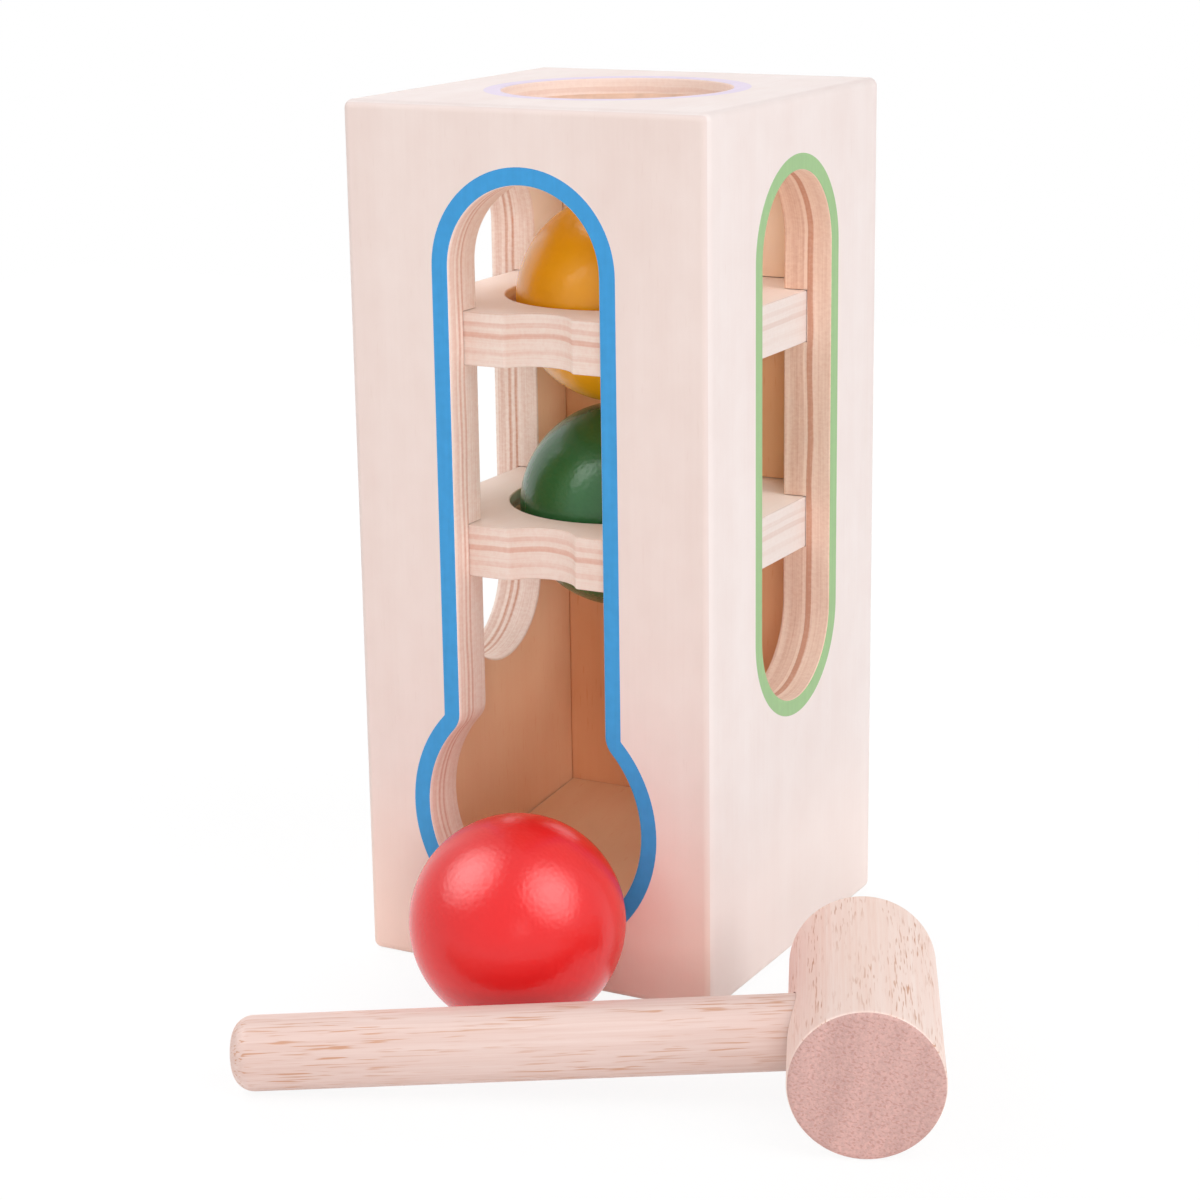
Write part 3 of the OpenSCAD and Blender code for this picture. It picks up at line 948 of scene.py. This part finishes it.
class TOY_OT_hammer(bpy.types.Operator):
    """Turns the hammer's head and handle"""
    bl_idname = "pounding_toy.hammer"
    bl_label = "Hammer"

    def execute(self, context):
        sizes, colours = settings(context)
        tilt = math.asin((sizes.head_radius - sizes.handle_radius)
                         / (sizes.handle_length - sizes.handle_tip))
        lying = (Matrix.Translation((*sizes.head_place, sizes.head_radius))
                 @ Matrix.Rotation(sizes.head_turn, 4, "Z") @ Matrix.Rotation(-tilt, 4, "Y"))
        along = axes((1, 0, 0), (0, 0, 1), (0, 1, 0), (0, 0, 0))
        head_wood = hardwood("head_hardwood", colours.head_pale, colours.head_deep,
                             colours.hardwood_pore, 21.0, 170, 0.95)
        handle_wood = hardwood("handle_hardwood", colours.handle_pale, colours.handle_deep,
                               colours.hardwood_pore, 27.0, 100, 0.85)
        ends = end_grain("hammer_end_grain", colours.end_grain, 23.0)
        radius, rim, half = sizes.head_radius, sizes.head_round, sizes.head_length / 2
        near = arc((radius - rim, half - rim), rim, math.pi / 2, 0, 5)
        profile = ([(0, -half, SAWN), (radius * 0.5, -half, SAWN)]
                   + [(r, -h, SAWN if i < 3 else FACE) for i, (r, h) in enumerate(near)]
                   + [(r, h, FACE if i < 2 else SAWN) for i, (r, h) in enumerate(reversed(near))]
                   + [(radius * 0.5, half, SAWN), (0, half, SAWN)])
        place = lying @ Matrix.Rotation(math.pi / 2, 4, "X")
        bore, mouth = sizes.handle_radius + sizes.fit, -radius - OVERSHOOT
        socket = turned([(0, sizes.socket_past, SAWN), (bore, sizes.socket_past, SAWN),
                         (bore, mouth, SAWN), (0, mouth, SAWN)])
        to_socket = (place.inverted() @ lying @ Matrix.Translation((0, -sizes.handle_shift, 0))
                     @ Matrix.Rotation(math.pi / 2, 4, "Y"))
        socket.points = [tuple(to_socket @ Vector(p)) for p in socket.points]
        piece("hammer_turned_head", turned(profile), place, [head_wood, ends], "hammer",
              "hammer_head", "hardwood", [socket], along)

        radius, tip, edge = sizes.handle_radius, sizes.handle_tip, sizes.sawn_round
        end = sizes.socket_past + sizes.handle_length
        round_tip = arc((radius - tip, end - tip), tip, 0, math.pi / 2, 12)
        profile = ([(0, 0, SAWN), (radius - edge, 0, FACE), (radius, edge, FACE)]
                   + [(r, h, FACE) for r, h in round_tip] + [(0, end, FACE)])
        place = (lying @ Matrix.Translation((sizes.socket_past, -sizes.handle_shift, 0))
                 @ Matrix.Rotation(-math.pi / 2, 4, "Y"))
        shift = Matrix.Translation((0.31, 0.2, 0.17)) @ along
        piece("hammer_turned_handle", turned(profile, 72), place, [handle_wood, ends], "hammer",
              "hammer_handle", "hardwood", (), shift)
        return {"FINISHED"}


def area_lamp(name, watts, shape, side, middle, reach):
    """A lamp at reach from the tower's middle, which it faces."""
    lamp = bpy.data.lights.new(name, "AREA")
    lamp.energy, lamp.shape, lamp.size = watts, shape, side
    holder = placed(name, lamp)
    holder.location = middle + reach
    holder.rotation_euler = (-reach).to_track_quat("-Z", "Y").to_euler()
    return holder


class TOY_OT_stage(bpy.types.Operator):
    """Sets the floor, the soft lamps, the room light and the camera"""
    bl_idname = "pounding_toy.stage"
    bl_label = "Stage"

    def execute(self, context):
        scene = context.scene
        sizes, stage = scene.toy_sizes, scene.toy_stage
        scene.view_settings.view_transform = "Standard"

        def seen(tree):
            """1 where the camera, a reflection or a clear piece looks, else 0."""
            path = add(tree, "ShaderNodeLightPath")
            total = sums(tree, path.outputs["Is Camera Ray"], path.outputs["Is Glossy Ray"],
                         path.outputs["Is Transmission Ray"])
            return reckon(tree, "MINIMUM", total, 1.0)

        floor_mesh = bpy.data.meshes.new("floor")
        half = stage.floor_half
        floor_mesh.from_pydata([(x, y, 0) for x, y in rectangle(-half, half, -half, half)], [],
                               [(0, 1, 2, 3)])
        floor = placed("floor", floor_mesh)
        made, tree = material("white_paper")
        place = add(tree, "ShaderNodeTexCoord").outputs["Object"]
        tooth = cloud(tree, place, (300, 300, 300), 2.0, 0.5)
        paper = add(tree, "ShaderNodeBsdfDiffuse", {},
                    {0: blend(tree, tooth, PAPER_GREY, PAPER_WHITE)})
        glow = add(tree, "ShaderNodeEmission", {}, {0: (1, 1, 1, 1), 1: PAPER_GLOW})
        away = add(tree, "ShaderNodeVectorMath", {"operation": "LENGTH"},
                   {0: place}).outputs["Value"]
        white = remap(tree, away, *(fade * half for fade in FLOOR_FADE), FLOOR_WHITE, 1.0, True)
        share = reckon(tree, "MULTIPLY", seen(tree), white)
        both = add(tree, "ShaderNodeMixShader", {},
                   {0: share, 1: paper.outputs[0], 2: glow.outputs[0]})
        add(tree, "ShaderNodeOutputMaterial", {}, {0: both.outputs[0]})
        floor_mesh.materials.append(made)

        world = bpy.data.worlds.new("white_room")
        world.use_nodes = True
        tree = world.node_tree
        tree.nodes.clear()
        strength = remap(tree, seen(tree), 0.0, 1.0, stage.sky, 1.0)
        sky = add(tree, "ShaderNodeBackground", {}, {0: (1, 1, 1, 1), 1: strength})
        add(tree, "ShaderNodeOutputWorld", {}, {0: sky.outputs[0]})
        scene.world = world

        large, small = stage.large_side, stage.small_side
        lamps = (("left_lamp", stage.left_power, large, (-0.60, -0.49, 0.64)),
                 ("right_lamp", stage.right_power, large, (0.58, -0.18, 0.79)),
                 ("right_side_lamp", stage.right_side_power, large, (0.86, -0.12, 0.50)),
                 ("back_lamp", stage.back_power, large, (-0.70, 0.60, 0.35)),
                 ("fill_lamp", stage.fill_power, small, (0.53, -0.83, 0.17)),
                 ("right_low_lamp", stage.right_low_power, small, (0.93, -0.10, 0.25)),
                 ("front_lamp", stage.front_power, small, (-0.15, -0.97, 0.12)))
        middle = Vector((0, 0, sizes.tower_height / 2))
        for name, watts, side, direction in lamps:
            reach = Vector(direction).normalized() * stage.lamp_distance
            area_lamp(name, watts, "SQUARE", side, middle, reach).visible_glossy = False
        for name, direction in (("left_card", (-0.57, -0.39, 0.73)),
                                ("right_card", (0.75, -0.16, 0.64))):
            for step, width in enumerate(CARD_STEPS):
                reach = Vector(direction).normalized() * (stage.lamp_distance + CARD_GAP * step)
                area_lamp(f"{name}_{step}", stage.card_power * width ** 2 / len(CARD_STEPS),
                          "DISK", stage.card_side * width, middle, reach).visible_diffuse = False

        yaw, pitch, roll = stage.camera_yaw, stage.camera_pitch, stage.camera_roll
        ahead = Vector((math.sin(yaw) * math.cos(pitch), math.cos(yaw) * math.cos(pitch),
                        math.sin(pitch)))
        level = Vector((math.cos(yaw), -math.sin(yaw), 0))
        above = level.cross(ahead)
        right = math.cos(roll) * level + math.sin(roll) * above
        above = math.cos(roll) * above - math.sin(roll) * level
        camera = placed("camera", bpy.data.cameras.new("camera"))
        camera.data.sensor_width = 36
        camera.data.lens = stage.lens
        camera.data.shift_x, camera.data.shift_y = stage.camera_shift
        camera.data.clip_start = 0.01
        camera.matrix_world = (Matrix.Translation(stage.camera_place)
                               @ Matrix((right, above, -ahead)).transposed().to_4x4())
        scene.camera = camera
        return {"FINISHED"}


class TOY_PT_panel(bpy.types.Panel):
    """Lists the toy's pieces, sizes and colours"""
    bl_idname = "TOY_PT_panel"
    bl_label = "Ball pounding toy"
    bl_space_type = "VIEW_3D"
    bl_region_type = "UI"
    bl_category = "Pounding toy"

    def draw(self, context):
        column = self.layout.column(align=True)
        for operator in OPERATORS:
            column.operator(operator.bl_idname)
        for group in (context.scene.toy_sizes, context.scene.toy_colours, context.scene.toy_stage):
            box = self.layout.box()
            for key in group.__annotations__:
                box.prop(group, key)


OPERATORS = (TOY_OT_walls, TOY_OT_top, TOY_OT_shelves, TOY_OT_floor, TOY_OT_rings, TOY_OT_balls,
             TOY_OT_hammer, TOY_OT_stage)
CLASSES = (ToySizes, ToyColours, ToyStage, *OPERATORS, TOY_PT_panel)


def register():
    for made in CLASSES:
        bpy.utils.register_class(made)
    bpy.types.Scene.toy_sizes = PointerProperty(type=ToySizes)
    bpy.types.Scene.toy_colours = PointerProperty(type=ToyColours)
    bpy.types.Scene.toy_stage = PointerProperty(type=ToyStage)


def unregister():
    del bpy.types.Scene.toy_stage, bpy.types.Scene.toy_colours, bpy.types.Scene.toy_sizes
    for made in reversed(CLASSES):
        bpy.utils.unregister_class(made)


def main():
    register()
    bpy.ops.pounding_toy.walls()
    bpy.ops.pounding_toy.top()
    bpy.ops.pounding_toy.shelves()
    bpy.ops.pounding_toy.floor()
    bpy.ops.pounding_toy.rings()
    bpy.ops.pounding_toy.balls()
    bpy.ops.pounding_toy.hammer()
    bpy.ops.pounding_toy.stage()


if __name__ == "__main__":
    main()
